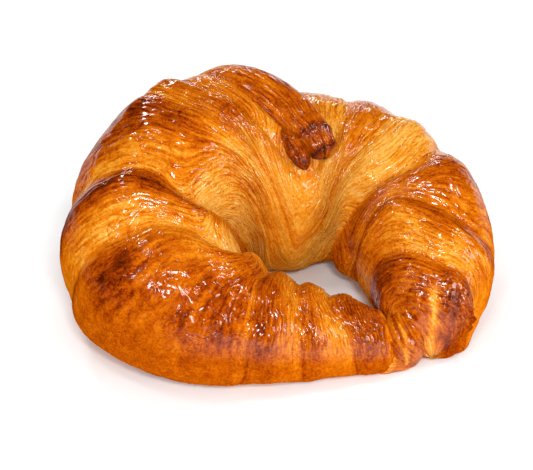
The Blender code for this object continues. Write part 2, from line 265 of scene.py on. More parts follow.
# How brown the layers are baked, by level: 0 pale dough, 1 the darkest crust.
LEFT_BAKE = [
    (0.0, 0.36), (0.5, 0.24), (0.95, 0.30), (1.1, 0.48), (1.5, 0.50), (1.85, 0.36), (2.0, 0.38),
    (2.12, 0.64), (2.35, 0.74), (2.6, 0.56), (2.8, 0.32), (2.97, 0.22), (3.05, 0.54),
    (3.2, 0.74), (3.42, 0.54), (3.62, 0.25), (3.95, 0.19), (4.05, 0.48), (4.3, 0.54),
    (4.9, 0.56), (4.98, 0.46), (5.1, 0.67), (5.4, 0.65), (5.6, 0.41), (5.95, 0.34), (6.05, 0.57),
    (6.25, 0.68), (6.45, 0.43), (6.95, 0.32), (7.06, 0.57), (7.3, 0.72), (7.9, 0.68),
    (8.0, 0.42), (8.2, 0.56),
]
RIGHT_BAKE = [
    (0.0, 0.46), (0.6, 0.27), (1.0, 0.30), (1.12, 0.42), (1.5, 0.46), (1.9, 0.38), (2.05, 0.22),
    (2.3, 0.12), (2.9, 0.20), (3.0, 0.38), (3.12, 0.58), (3.5, 0.62), (3.75, 0.46), (3.95, 0.42),
    (4.05, 0.60), (4.2, 0.60), (4.4, 0.28), (4.9, 0.16), (5.0, 0.42), (5.12, 0.66), (5.6, 0.66),
    (6.0, 0.60),
]
# The same on the wall towards the hole, between the arms, set paler than the crust's own colour
# there: painted light on that wall, which the dough around it shades.
INNER_LEFT_BAKE_AND_PAINTED_LIGHT = [
    (0.0, 0.36), (1.0, 0.30), (1.3, 0.22), (1.75, 0.18), (1.93, 0.32), (2.0, 0.37), (2.06, 0.19),
    (2.18, 0.17), (2.3, 0.27), (2.55, 0.29), (2.68, 0.10), (2.95, 0.07), (3.02, 0.20),
    (3.1, 0.44), (3.3, 0.48), (3.55, 0.30), (3.9, 0.16), (4.05, 0.44),
]
INNER_RIGHT_BAKE_AND_PAINTED_LIGHT = [
    (0.0, 0.36), (1.0, 0.30), (1.3, 0.22), (1.7, 0.19), (1.88, 0.32), (2.0, 0.37), (2.1, 0.15),
    (2.5, 0.10), (2.9, 0.16), (3.0, 0.40), (3.12, 0.58), (3.5, 0.62), (3.9, 0.44), (4.05, 0.60),
]
FLANK_BAKE = 0.60  # of the lower sides, browner than the layers above them
FLANK_SINES = (-0.25, 0.45)  # sines of the angle between which that ends
FLANK_SHARES = (0.65, 0.45)  # how far the outer side takes it: on the front horn, and further on
FLANK_SHARES_TURN = (70.0, 95.0)  # lengths between which that changes
FLANK_INNER_SHARE = 0.12  # how far the side towards the hole takes it
PALE_BAKES = (0.3, 0.6)  # bakes between which the crust stops being pale
# Places that are browner or paler than their layer: place, reaches, change of the bake. Most are
# the crust's own colour, but some are painted light and shade: paler at (228, 120) for a painted
# highlight, at (15, 128) for a painted reflection of glare, and at (46, 130) for painted light on
# the front horn's inner top, which turns away from the lamps; darker at (71, 40), a small crease
# painted dark, partly brown crust and partly painted shade.
COLOUR_AND_PAINTED_LIGHT_PATCHES = [
    (105, 78, 6, 22, 0.06), (88, 72, 5, 14, 0.10), (104, 110, 8, 9, -0.12),
    (110, 118, 4, 18, -0.30), (96, 100, 6, 14, -0.10), (86, 98, 6, 10, 0.08),
    (86, 24, 6, 28, 0.26), (55, 0, 30, 26, 0.10), (98, 42, 6, 18, 0.26),
    (51, 34, 9, 20, 0.16), (49, 64, 6, 18, 0.16), (71, 40, 4, 18, 0.34),
    (61, 86, 9, 8, -0.10), (58, 16, 10, 12, -0.04), (44, 102, 5, 10, 0.14),
    (46, 130, 16, 16, -0.18), (15, 128, 12, 14, -0.22), (31, 49, 3.5, 14, 0.14),
    (83, 92, 4, 14, 0.10), (25, 80, 4, 24, -0.06), (74, 84, 4, 16, 0.08),
    (217, 88, 4, 14, 0.18), (225, 28, 5, 18, 0.18), (184, 102, 5, 14, -0.12),
    (235, 116, 4, 16, -0.06), (20, 45, 4, 12, -0.12), (119, 114, 6, 13, 0.24),
    (131, 104, 5, 12, 0.14), (128, 74, 7, 20, 0.18), (163, 116, 3.2, 22, -0.26),
    (205, 45, 5, 16, -0.10), (197, 112, 5, 9, -0.16), (212, 154, 10, 30, 0.30),
    (228, 60, 4, 24, 0.06), (228, 120, 5, 16, -0.20), (233, 153, 6, 7, -0.20),
]

# Windows on the chart: degrees round the section over which one opens, lengths along the spine
# over which it opens, and over which it closes.
INNER_WALL = ((112, 136), (56, 76), (186, 198))  # the wall's bake, made paler there as painted light
INNER_CORE = ((128, 148), (110, 128), (154, 168))  # the wall's smooth middle
INNER_DENSE = ((105, 165), (36, 60), (168, 192))  # lines and laminations set closer

# The fine relief

# Places where the glaze is wrinkled more: place, reaches, how much.
WRINKLED = [
    (108, 158, 12, 20, 1.6), (88, 160, 12, 22, 1.6), (128, 150, 10, 14, 0.8),
    (150, 150, 10, 16, 0.8), (167, 138, 6, 20, 1.0), (197, 80, 9, 22, 0.6),
    (86, 92, 9, 18, 0.5), (104, 92, 8, 18, 0.5), (228, 118, 5, 20, 0.8),
    (33, 40, 9, 18, 0.7), (48, 92, 9, 18, 0.5),
]
# Places where the crust is crinkled: place, reaches, height of the crinkles.
CRINKLED = [(106, 154, 11, 20, 0.36), (86, 140, 9, 22, 0.36), (158, 140, 8, 20, 0.36)]
# Places where the fine lines curl like a fingerprint: place, reaches, share.
SWIRLS = [
    (58, 70, 15, 34, 1.0), (50, 10, 34, 20, 0.7), (131, 122, 6, 9, 1.0),
    (158, 150, 9, 12, 0.6), (204, 150, 12, 26, 0.5), (198, 70, 7, 22, 0.5),
]
# Places where the fine relief is calmer: place, reaches, how much.
CALM = [(135, 42, 15, 15, 0.7), (40, 38, 4, 10, 0.7)]
# The torn end of the right horn: place, reaches, height.
TORN = [(232.6, 16, 3.4, 32, 1.8)]
# Noises: size in millimetres, height, seed, octaves.
LUMPS = (11.0, 0.30, 11, 2)
DENTS = (3.8, 0.09, 23, 1)
CRINKLES = (2.3, 1.0, 47, 2)
TORN_EDGE = (2.0, 1.0, 61, 2)
LAMINATION_BENDS = (7.0, 0.7, 93, 1)
LINE_BENDS = (7.0, 1.0, 91, 2)
WRINKLE_BENDS = (3.8, 0.6, 41, 1)
# Noises along the layers: how much finer than their coordinates, height, seed, octaves.
LAMINATIONS = (1.0, 1.0, 37, 1)
FINER_LAMINATIONS = ((2.1, 1.3, 1.3), 0.4, 38, 1)
WRINKLES = (1.0, 0.13, 53, 2)
LINE_STRENGTHS = (1.0, 0.5, 97, 1)
# Those coordinates: how many from one layer edge to the next, length along a layer over which
# they change. The third is for the shader's laminations.
LAMINATION_GRAIN, WRINKLE_GRAIN, SHADER_GRAIN = (5.5, 15.0), (9.0, 9.0), (26.0, 1 / 0.11)
LAMINATION_HEIGHT = 0.30
FULL_SPACING = 11.0  # millimetres a level from which the laminations have their full height
SEAM_WIDTH = 0.22  # of the seams between laminations, as a share of their noise
SEAM_DEPTH, SEAM_DARKENING = 0.12, 0.12  # and how much darker the seams are: browner crust and painted shade
LINES_A_LEVEL = 9.5  # the thinnest edges, fine lines side by side
LINE_RUN = 10.0  # length along which each one keeps its strength
LINE_HEIGHT = 0.26
LINE_GROOVE = 0.14  # half width of the groove between two lines, as a share of their distance
LINE_GROOVE_DARKENING = 0.22  # how much darker that groove is: browner crust and painted shade
LINE_STRENGTH = 0.5
LINE_STEP = 1.37  # step in the noise of their strengths from one line to the next
LINE_LIMIT = (0.26, 0.46)  # lines in a step of the grid between which they are left out
STRAY, SWIRL_STRAY = 1.3, 3.0  # how far they stray, in lines: where calm, and more in swirls
CORE_LINES = 0.15  # share of their strength on the smooth middle of the inner wall
FLANK_LINES = 0.28  # and on the outer side
FLANK_LINES_SINES = (0.0, 0.6)  # sines of the angle between which that ends
INNER_DENSER = 2.0  # how much closer they are set where the layers are broad,
INNER_DENSER_FROM = 2.1  # counted from this level
RIDGE_SCALE = 6.75  # brings the top of f * f * (1 - f) to 1
# Shares on brown crust and on pale dough.
LAMINATION_SHARES, SEAM_SHARES, DARKENING_SHARES = (0.5, 1.1), (0.35, 1.0), (0.65, 1.0)
FINE_FADE = (0.0, 0.6)  # share of the horn's rounded end over which the fine relief fades
TABLE_FADE = (-0.97, -0.7)  # sines of the angle over which it fades towards the table

# The egg wash: sines of the angle between which it begins on the front horn's outer side, on the
# rest of the outer side, and towards the hole.
WASH_FRONT, WASH_OUTER, WASH_INNER = (0.0, 0.45), (0.35, 0.95), (-0.35, 0.15)
WASH_TURN = (46.0, 62.0)  # lengths between which the front horn gives way
WASH_BAKES, WASH_SHARES = (0.2, 0.5), (0.6, 1.0)  # by the bake

# The noise: factors of its hash, and how each octave follows on the one before.
HASH_FACTORS, HASH_SEED, HASH_MIX = (374761393, 668265263, 2147483647), 1442695041, 1274126177
LOW_32_BITS, LOW_16_BITS = 0xFFFFFFFF, 0xFFFF
OCTAVE_STEP, OCTAVE_SHARE = 2.03, 0.5

# The meshes

BODY_PIECES = ("front_horn", "left_arm", "back_arm", "right_arm")
RINGS_A_PIECE = 247
BODY_SIDES = 400
SEEN_ANGLES = (-35.0, 215.0)  # the part of the section that is off the table
SEEN_SHARE = 0.9  # share of the points round a section that lie in it
TONGUE_RINGS, TONGUE_SIDES = 300, 200
ROLL_RINGS, ROLL_SIDES = 120, 90
FIELD_BLOCK = 40  # rings read from the field at a time


def curve_through(rows, t):
    """Catmull-Rom curve through evenly numbered rows, read at the numbers t."""
    rows = np.asarray(rows, float)
    last = len(rows) - 1
    padded = np.vstack([2 * rows[0] - rows[1], rows, 2 * rows[-1] - rows[-2]])
    t = np.clip(np.asarray(t, float), 0, last)
    i = np.minimum(t.astype(int), last - 1)
    f = (t - i)[..., None]
    a, b, c, d = (padded[i + k] for k in range(4))
    square = 2 * a - 5 * b + 4 * c - d
    cube = 3 * b - a - 3 * c + d
    return 0.5 * (2 * b + (c - a) * f + square * f**2 + cube * f**3)


def lengths_along(path):
    strides = np.linalg.norm(np.diff(path, axis=0), axis=1)
    return np.concatenate([[0.0], np.cumsum(strides)])


def unit(vectors):
    return vectors / np.maximum(np.linalg.norm(vectors, axis=-1, keepdims=True), TINY)


def blend(ends, share):
    """From the first of two ends to the second, by a share from 0 to 1."""
    start, end = ends
    return start + (end - start) * share


def smooth_step(low, high, value):
    t = np.clip((value - low) / (high - low), 0, 1)
    return t * t * (3 - 2 * t)


class Spine:
    """The stations as functions of the length along the spine."""

    def __init__(self):
        self.number = np.linspace(0, len(STATIONS) - 1, SPINE_STEPS)
        self.length_at = lengths_along(curve_through(STATIONS, self.number)[:, :2])
        self.length = self.length_at[-1]

    def rows(self, s):
        return curve_through(STATIONS, np.interp(s, self.length_at, self.number))

    def point(self, s, angle):
        """Points of the plain loft at length s and angle (radians) round the section."""
        x, y, azimuth, half_width, height = np.moveaxis(self.rows(s), -1, 0)
        short_of = 1 - self.to_end(s)
        end = (1 - short_of**HORN_END_BLUNTNESS) ** (1 / HORN_END_BLUNTNESS)
        half_width = half_width * end
        height = height * blend((HORN_END_HEIGHT, 1), end)
        azimuth = np.radians(azimuth)
        across, up = np.cos(angle), np.sin(angle)
        power = np.where(up > 0, TOP_ROUNDNESS, FOOT_ROUNDNESS)
        reach = (np.abs(across) ** power + np.abs(up) ** power) ** (-1 / power)
        middle = WIDEST_LEVEL * height
        above = np.where(up > 0, height - middle, middle)
        return np.stack([
            x + np.cos(azimuth) * half_width * reach * across,
            y + np.sin(azimuth) * half_width * reach * across,
            middle + above * reach * up * end,
        ], axis=-1)

    def to_end(self, s):
        """0 at the very end of a horn, 1 where its rounded end begins and beyond."""
        return np.clip(np.minimum(s, self.length - s) / HORN_END_LENGTH, 0, 1)

    def outward(self, s, angle):
        """Directions out of the plain loft, from two small steps on its surface."""
        s = np.clip(s, END_MARGIN, self.length - END_MARGIN)
        along = self.point(s + STEP_ALONG, angle) - self.point(s - STEP_ALONG, angle)
        around = self.point(s, angle + STEP_AROUND) - self.point(s, angle - STEP_AROUND)
        return unit(np.cross(around, along))


class LayerField:
    """A smooth field on the chart that takes each layer edge's level along that edge."""

    def __init__(self):
        places, levels, depths = [], [], []
        for level, depth, line in LAYER_EDGES + [(0, 0.0, TONGUE_AXIS)]:
            t = np.linspace(0, len(line) - 1, EDGE_SAMPLES * len(line))
            places.append(curve_through(line, t))
            levels += [float(level)] * len(t)
            depths += [depth] * len(t)
        self.places = np.vstack(places) * (1.0, CHART_MM_PER_DEGREE)
        self.depths = np.array(depths)
        count = len(self.places)
        gaps = np.linalg.norm(self.places[:, None] - self.places[None], axis=2)
        system = np.zeros((count + 3, count + 3))  # the last 3 are for a plane
        system[:count, :count] = -gaps
        system[:count, count] = 1
        system[:count, count + 1:] = self.places
        system[count, :count] = 1
        system[count + 1:, :count] = self.places.T
        weights = np.linalg.solve(system, np.concatenate([levels, np.zeros(3)]))
        self.weights, self.plane = weights[:count], weights[count:]

    def read(self, s, angle):
        """Level and groove depth on a grid of lengths s and angles (radians)."""
        level, depth = np.empty(s.shape), np.empty(s.shape)
        for start in range(0, len(s), FIELD_BLOCK):
            block = slice(start, start + FIELD_BLOCK)
            turn = np.degrees(angle[block]) * CHART_MM_PER_DEGREE
            here = np.stack([s[block].ravel(), turn.ravel()], axis=-1)
            squares = (here**2).sum(axis=1)[:, None] + (self.places**2).sum(axis=1)[None]
            gaps = np.sqrt(np.maximum(squares - 2 * here @ self.places.T, 0.0))
            value = -gaps @ self.weights + self.plane[0] + here @ self.plane[1:]
            near = 1 / (gaps**2 + DEPTH_BLEND**2) ** (DEPTH_FALL / 2)
            level[block] = value.reshape(turn.shape)
            depth[block] = ((near @ self.depths) / near.sum(axis=1)).reshape(turn.shape)
        return level, depth


def patch(s, angle, place, turn, reach, reach_angle):
    """1 at a place on the chart, falling smoothly to 0 beyond its reach."""
    return np.exp(-((s - place) / reach) ** 2 - ((np.degrees(angle) - turn) / reach_angle) ** 2)


def patches(s, angle, rows):
    """Patches added up, each row a place on the chart, its reaches and its height."""
    return sum(height * patch(s, angle, *place) for *place, height in rows)


def window(s, angle, borders):
    """1 within a window on the chart, 0 outside it."""
    turn, opening, closing = borders
    opened = smooth_step(*turn, np.degrees(angle)) * smooth_step(*opening, s)
    return opened * (1 - smooth_step(*closing, s))


def outer_side(angle, sines):
    """1 low on the outer side, 0 on top and towards the hole; it ends between two sines."""
    return (1 - smooth_step(*sines, np.sin(angle))) * (np.cos(angle) > 0)


def layer_profile(level):
    """Height across a layer: 0 at both its edges, 1 on its ridge, steep on the tongue's side."""
    f = level - np.floor(level)
    rising = np.sin(np.clip(f / RIDGE_PLACE, 0, 1) * math.pi / 2)
    falling = np.sin(np.clip((1 - f) / (1 - RIDGE_PLACE), 0, 1) * math.pi / 2) ** VALLEY_BREADTH
    return np.where(f < RIDGE_PLACE, rising, falling)


def side_fade(angle):
    """Share of the relief that shows: all of it on top, less down the sides, none below."""
    sine = np.sin(angle)
    return np.where(np.cos(angle) > 0, np.interp(sine, *OUTER_FADE), np.interp(sine, *INNER_FADE))


def softened(grid):
    """The grid with the sharp bottoms of its grooves rounded a little."""
    for _ in range(SOFTENING_PASSES):
        for axis in (0, 1):
            size = grid.shape[axis]
            padded = np.pad(grid, [(1, 1) if axis == k else (0, 0) for k in (0, 1)], mode="edge")
            low, high = (np.take(padded, range(k, k + size), axis=axis) for k in (0, 2))
            grid = (low + 2 * grid + high) / 4
    return grid


def random_at(cells, seed):
    """A repeatable random number from -1 to 1 for each cell of a lattice."""
    x, y, z = np.moveaxis(cells, -1, 0)
    a, b, c = HASH_FACTORS
    mixed = x * a + y * b + z * c + seed * HASH_SEED
    mixed = (mixed ^ (mixed >> 13)) * HASH_MIX
    mixed = mixed & LOW_32_BITS
    mixed = mixed ^ (mixed >> 16)
    return (mixed & LOW_16_BITS) / (LOW_16_BITS / 2) - 1


def noise(points, seed, octaves):
    """Smooth noise from about -1 to 1 at points of space; each octave is half as large."""
    total, height = 0.0, 1.0
    for octave in range(octaves):
        cells = np.floor(points).astype(np.int64)
        f = points - cells
        f = f**3 * (f * (f * 6 - 15) + 10)
        value = 0.0
        for corner in range(8):
            step = np.array([corner & 1, (corner >> 1) & 1, (corner >> 2) & 1])
            share = np.prod(np.where(step == 1, f, 1 - f), axis=-1)
            value = value + share * random_at(cells + step, seed + octave)
        total = total + height * value
        points = points * OCTAVE_STEP
        height *= OCTAVE_SHARE
    return total


def bumps(points, size, height, seed, octaves, own_seed=0):
    """Noise of a size and height."""
    return height * noise(points / size, own_seed + seed, octaves)


def ripples(places, finer, height, seed, octaves, own_seed=0):
    """Noise at coordinates of its own, or so much finer than they are."""
    return height * noise(places * finer, own_seed + seed, octaves)


class Crust:
    """What the baked surface is like at places on the chart: its level, bake and fine relief."""

    def __init__(self, s, angle, field):
        self.s, self.angle = s, angle
        self.turn = np.degrees(angle) * CHART_MM_PER_DEGREE
        self.level, self.depth = field.read(s, angle)
        self.to_right = smooth_step(-SIDES_BLEND / 2, SIDES_BLEND / 2, s - TONGUE_PLACE)
        slope = np.hypot(
            np.gradient(self.level, axis=0) / np.gradient(s, axis=0),
            np.gradient(self.level, axis=1) / np.gradient(self.turn, axis=1),
        )
        self.spacing = 1 / np.maximum(slope, 1 / WIDEST_SPACING)
        core = blend((1, CORE_LINES), window(s, angle, INNER_CORE))
        self.lines = core * blend((1, FLANK_LINES), outer_side(angle, FLANK_LINES_SINES))
        denser = INNER_DENSER * window(s, angle, INNER_DENSE)
        self.grain_level = self.level + denser * (self.level - INNER_DENSER_FROM)

    def by_level(self, left_table, right_table):
        """Values read by level from the left side's table, giving way to the right side's."""
        left = np.interp(self.level, *zip(*left_table))
        right = np.interp(self.level, *zip(*right_table))
        return blend((left, right), self.to_right)

    def grain(self, a_level, run):
        """Coordinates that change fast across the layers and slowly along them."""
        return np.stack([self.grain_level * a_level, self.s / run, self.turn / run], axis=-1)

    def bake(self):
        """How brown each place is, before its fine lines, with painted light on the wall towards
        the hole and in a few patches.
        """
        value = self.by_level(LEFT_BAKE, RIGHT_BAKE)
        # the wall towards the hole reads its own paler tables: painted light on that shaded wall
        inner = self.by_level(INNER_LEFT_BAKE_AND_PAINTED_LIGHT, INNER_RIGHT_BAKE_AND_PAINTED_LIGHT)
        value = blend((value, inner), window(self.s, self.angle, INNER_WALL))
        # a few of these patches are painted highlights, a painted reflection, and painted light
        # and shade
        value = value + patches(self.s, self.angle, COLOUR_AND_PAINTED_LIGHT_PATCHES)
        outer = blend(FLANK_SHARES, smooth_step(*FLANK_SHARES_TURN, self.s))
        taken = np.where(np.cos(self.angle) > 0, outer, FLANK_INNER_SHARE)
        low = 1 - smooth_step(*FLANK_SINES, np.sin(self.angle))
        return blend((value, FLANK_BAKE), low * taken)

    def layer_relief(self, edge, flank):
        """Ridges and grooves of the layers, and the thin edge that each one turns up."""
        lip = EDGE_HEIGHT * edge * np.clip(self.depth / EDGE_HEIGHT_DEPTH, 0, 1)
        cut = blend(GROOVE_SHARES, flank)
        return softened(self.depth * (layer_profile(self.level) - cut) + lip)

    def laminations(self, points, pale):
        """Broad laminations: their height in millimetres, and how deep in a seam each place is."""
        full = np.clip(self.spacing / FULL_SPACING, 0, 1) * self.lines
        grain = self.grain(*LAMINATION_GRAIN) + bumps(points, *LAMINATION_BENDS)[..., None]
        waves = ripples(grain, *LAMINATIONS) + ripples(grain, *FINER_LAMINATIONS)
        seam = np.clip(1 - np.abs(waves) / SEAM_WIDTH, 0, 1) * full
        height = LAMINATION_HEIGHT * blend(LAMINATION_SHARES, pale) * full * waves
        return height - SEAM_DEPTH * blend(SEAM_SHARES, pale) * seam, seam

    def fine_lines(self, points):
        """The thinnest edges side by side: their height, and how deep in a groove a place is."""
        swirl = np.clip(patches(self.s, self.angle, SWIRLS), 0, 1)
        stray = (STRAY + SWIRL_STRAY * swirl) * bumps(points, *LINE_BENDS)
        across = self.grain_level * LINES_A_LEVEL + stray
        shown = 1 - smooth_step(*LINE_LIMIT, np.hypot(*np.gradient(across)))
        line = np.floor(across)
        f = across - line
        places = np.stack([line * LINE_STEP, self.s / LINE_RUN, self.turn / LINE_RUN], axis=-1)
        strength = np.clip(LINE_STRENGTH + ripples(places, *LINE_STRENGTHS), 0, 1)
        strength = strength * shown * self.lines
        groove = np.exp(-((np.minimum(f, 1 - f) / LINE_GROOVE) ** 2))
        return LINE_HEIGHT * strength * RIDGE_SCALE * f * f * (1 - f), strength * groove

    def fine_relief(self, points, pale):
        """All relief finer than the layers, in millimetres, and how much darker its seams are,
        browner crust and painted shade.
        """
        s, angle = self.s, self.angle
        laminations, seam = self.laminations(points, pale)
        lines, groove = self.fine_lines(points)
        grain = self.grain(*WRINKLE_GRAIN) + bumps(points, *WRINKLE_BENDS)[..., None]
        wrinkles = ripples(grain, *WRINKLES) * (1 + patches(s, angle, WRINKLED))
        crinkles = bumps(points, *CRINKLES) * patches(s, angle, CRINKLED)
        torn = np.abs(bumps(points, *TORN_EDGE)) * patches(s, angle, TORN)
        relief = bumps(points, *LUMPS) + bumps(points, *DENTS) + laminations + lines
        relief = relief + wrinkles + crinkles + torn
        for *place, calmer in CALM:
            relief = relief * (1 - calmer * patch(s, angle, *place))
        return relief, (SEAM_DARKENING * seam + LINE_GROOVE_DARKENING * groove) * blend(DARKENING_SHARES, pale)

    def wash(self, bake):
        """How much egg wash shines: most on the browned tops, little on flanks and in valleys."""
        sine = np.sin(self.angle)
        ends = smooth_step(*WASH_FRONT, sine), smooth_step(*WASH_OUTER, sine)
        outside = blend(ends, smooth_step(*WASH_TURN, self.s))
        inside = smooth_step(*WASH_INNER, sine)
        washed = np.where(np.cos(self.angle) > 0, outside, inside)
        return washed * blend(WASH_SHARES, smooth_step(*WASH_BAKES, bake))


def end_folds(s, points, to_end):
    """Upright folds of the right horn's end: their relief, and the change of the bake."""
    folded = smooth_step(*END_FOLDS_FROM, points[..., 1])
    folded = folded * smooth_step(*END_FOLDS_SIDE, s - TONGUE_PLACE)
    x = points[..., 0] + bumps(points, *END_FOLDS_BENDS)
    relief, bake = np.zeros(s.shape), np.zeros(s.shape)
    for middle, breadth, height, change in END_FOLDS:
        fold = folded * np.exp(-(((x - middle) / breadth) ** 2))
        relief += height * fold * smooth_step(*END_FOLDS_FADE, to_end)
        bake += change * fold
    return relief, bake


def body_grid(spine, field):
    """The dough's surface as a grid of points in millimetres, its crust and its bake."""
    rings = RINGS_A_PIECE * len(BODY_PIECES) + 1
    low, high = SEEN_ANGLES
    shares = np.linspace(0, 1, BODY_SIDES, endpoint=False)
    angles = np.radians(np.interp(shares, (0, SEEN_SHARE, 1), (low, high, low + 360)))
    s, angle = np.meshgrid(np.linspace(0, spine.length, rings), angles, indexing="ij")
    crust = Crust(s, angle, field)
    points, outward, to_end = spine.point(s, angle), spine.outward(s, angle), spine.to_end(s)
    f = crust.level - np.floor(crust.level)
    edge = np.exp(-((f - EDGE_PLACE) / EDGE_WIDTH) ** 2)
    flank = outer_side(angle, GROOVE_SIDE)
    relief = crust.layer_relief(edge, flank) * side_fade(angle) * to_end
    relief += patches(s, angle, SWELLINGS)
    folds, change = end_folds(s, points, to_end)
    bake = crust.bake() + change
    fine, darker_seams = crust.fine_relief(points, 1 - smooth_step(*PALE_BAKES, bake))
    fade = smooth_step(*TABLE_FADE, np.sin(angle)) * smooth_step(*FINE_FADE, to_end)
    relief += folds + fine * fade
    # Seams and grooves darker: browner crust and painted shade.
    bake += darker_seams
    # A thin dark line along each layer edge on the outer side: browner crust and painted shade of
    # the step.
    bake += EDGE_DARKENING * flank * edge * np.clip(crust.depth / EDGE_DARKENING_DEPTH, 0, 1)
    points = points + outward * relief[..., None]
    points[..., 2] = np.maximum(points[..., 2] - FLAT_DEPTH, 0.0)
    return points, crust, bake


def grid_normals(points):
    """Directions out of a grid of points whose second index runs round the section."""
    along = np.gradient(points, axis=0)
    around = np.roll(points, -1, axis=1) - np.roll(points, 1, axis=1)
    return unit(np.cross(around, along))


def raised(points, relief):
    return points + grid_normals(points) * relief[..., None]


def in_metres(points):
    """From millimetres in the stations' coordinates to metres in the frame, above the floor."""
    points = (np.asarray(points, float) - (*CENTRE, 0.0)) * np.array(SHRINK) * MM
    points[..., 2] = np.maximum(points[..., 2], 0.0)
    return points


def placed(name, data):
    thing = bpy.data.objects.new(name, data)
    bpy.context.scene.collection.objects.link(thing)
    return thing


def aim(thing, place, target):
    """Set a light or a camera at a place and turn it to a target."""
    thing.location = place
    thing.rotation_euler = (Vector(target) - Vector(place)).to_track_quat("-Z", "Y").to_euler()


def grid_mesh(name, points, normals, looks):
    """A mesh tube through a grid of rings, with its normals and what the shader reads."""
    rings, sides = points.shape[:2]
    number = np.arange(rings * sides).reshape(rings, sides)
    near, far = number[:-1], number[1:]
    corners = [near, np.roll(near, -1, axis=1), np.roll(far, -1, axis=1), far]
    faces = np.stack(corners, axis=-1).reshape(-1, 4)
    mesh = bpy.data.meshes.new(name)
    mesh.from_pydata(points.reshape(-1, 3).tolist(), [], faces.tolist())
    for key, values in looks.items():
        kind, field = ("FLOAT_VECTOR", "vector") if values.ndim == 3 else ("FLOAT", "value")
        layer = mesh.attributes.new(key, kind, "POINT")
        layer.data.foreach_set(field, values.astype(np.float32).ravel())
    mesh.shade_smooth()
    mesh.normals_split_custom_set_from_vertices(normals.reshape(-1, 3).tolist())
    return placed(name, mesh)


def body_pieces(spine, field):
    points, crust, bake = body_grid(spine, field)
    points = in_metres(points)
    normals = grid_normals(points)
    looks = {"bake": bake, "grain": crust.grain(*SHADER_GRAIN), "lines": crust.lines}
    looks["glaze"] = crust.wash(bake)
    pieces = []
    for k, name in enumerate(BODY_PIECES):
        rows = slice(k * RINGS_A_PIECE, (k + 1) * RINGS_A_PIECE + 1)
        part = {key: values[rows] for key, values in looks.items()}
        pieces.append(grid_mesh(name, points[rows], normals[rows], part))
    return pieces


def small_piece(name, points, bake, grain, glaze):
    looks = {"bake": bake, "grain": grain, "lines": np.ones(bake.shape), "glaze": glaze}
    points = in_metres(points)
    return grid_mesh(name, points, grid_normals(points), looks)


def tube(middle, reference, across, above):
    """Rings of points round a path, at distances to its side and towards the reference."""
    along = unit(np.gradient(middle, axis=0))
    side = unit(np.cross(along, reference))
    up = np.cross(side, along)
    return middle[:, None] + side[:, None] * across[..., None] + up[:, None] * above[..., None]


def tongue_loft(spine):
    """The plain tongue, a flattened roll over the dough: points, lengths along it, turns round."""
    rows = curve_through(TONGUE, np.linspace(0, len(TONGUE) - 1, TONGUE_RINGS))
    s, angle, lift, half_width, half_thickness = rows.T
    angle = np.radians(angle)
    up = spine.outward(s, angle)
    middle = spine.point(s, angle) + up * lift[:, None]
    length = lengths_along(middle)
    end = np.clip(1 - (length[-1] - length) / TONGUE_END_LENGTH, 0, 1)
    round_off = np.sqrt(1 - (1 - TONGUE_END_WIDTH**2) * end**2)
    arch = blend(TONGUE_ARCH, smooth_step(*TONGUE_ARCH_LENGTHS, length))
    around = np.linspace(0, 2 * math.pi, TONGUE_SIDES, endpoint=False)
    length, turn = np.meshgrid(length, around, indexing="ij")
    rise = np.sign(np.sin(turn)) * np.abs(np.sin(turn)) ** arch[:, None]
    across = (half_width * round_off)[:, None] * np.cos(turn)
    points = tube(middle, up, across, (half_thickness * round_off)[:, None] * rise)
    points[..., 2] -= FLAT_DEPTH
    return points, length, turn


def tongue_piece(spine):
    points, length, turn = tongue_loft(spine)
    to_end = length[-1, 0] - length
    clear = smooth_step(*TONGUE_CLEAR, length)
    ring = np.stack([np.cos(turn), np.sin(turn), length / TONGUE_GRAIN_RUN], axis=-1)
    grain = ring * TONGUE_GRAIN
    lines = ripples(ring, *TONGUE_LINES)
    relief = TONGUE_LINES_HEIGHT * lines + ripples(grain, *TONGUE_LAMINATIONS)
    relief += bumps(points, *TONGUE_DENTS)
    relief *= blend(TONGUE_COVERED_RELIEF, clear)
    bake = TONGUE_BAKE + ripples(grain, *TONGUE_MOTTLING)
    bake += TONGUE_LINES_BAKE * np.clip(-lines, 0, 1)
    stray = ripples(ring, *FOLD_BENDS)
    for place, slant, depth, breadth in TONGUE_FOLDS:
        past = place + slant * np.cos(turn) + stray - to_end
        fold = np.exp(-((past / breadth) ** 2))
        relief -= depth * fold * (1 + np.tanh(FOLD_STEEPNESS * past)) / 2
        bake += FOLD_BAKE * fold
    bake += TONGUE_TIP_BAKE * (1 - smooth_step(*TONGUE_TIP, to_end))
    bake -= TONGUE_COVERED_PALER * (1 - clear)
    glaze = blend(TONGUE_COVERED_GLAZE, clear)
    return small_piece("tongue", raised(points, relief), bake, grain * TONGUE_SHADER_GRAIN, glaze)


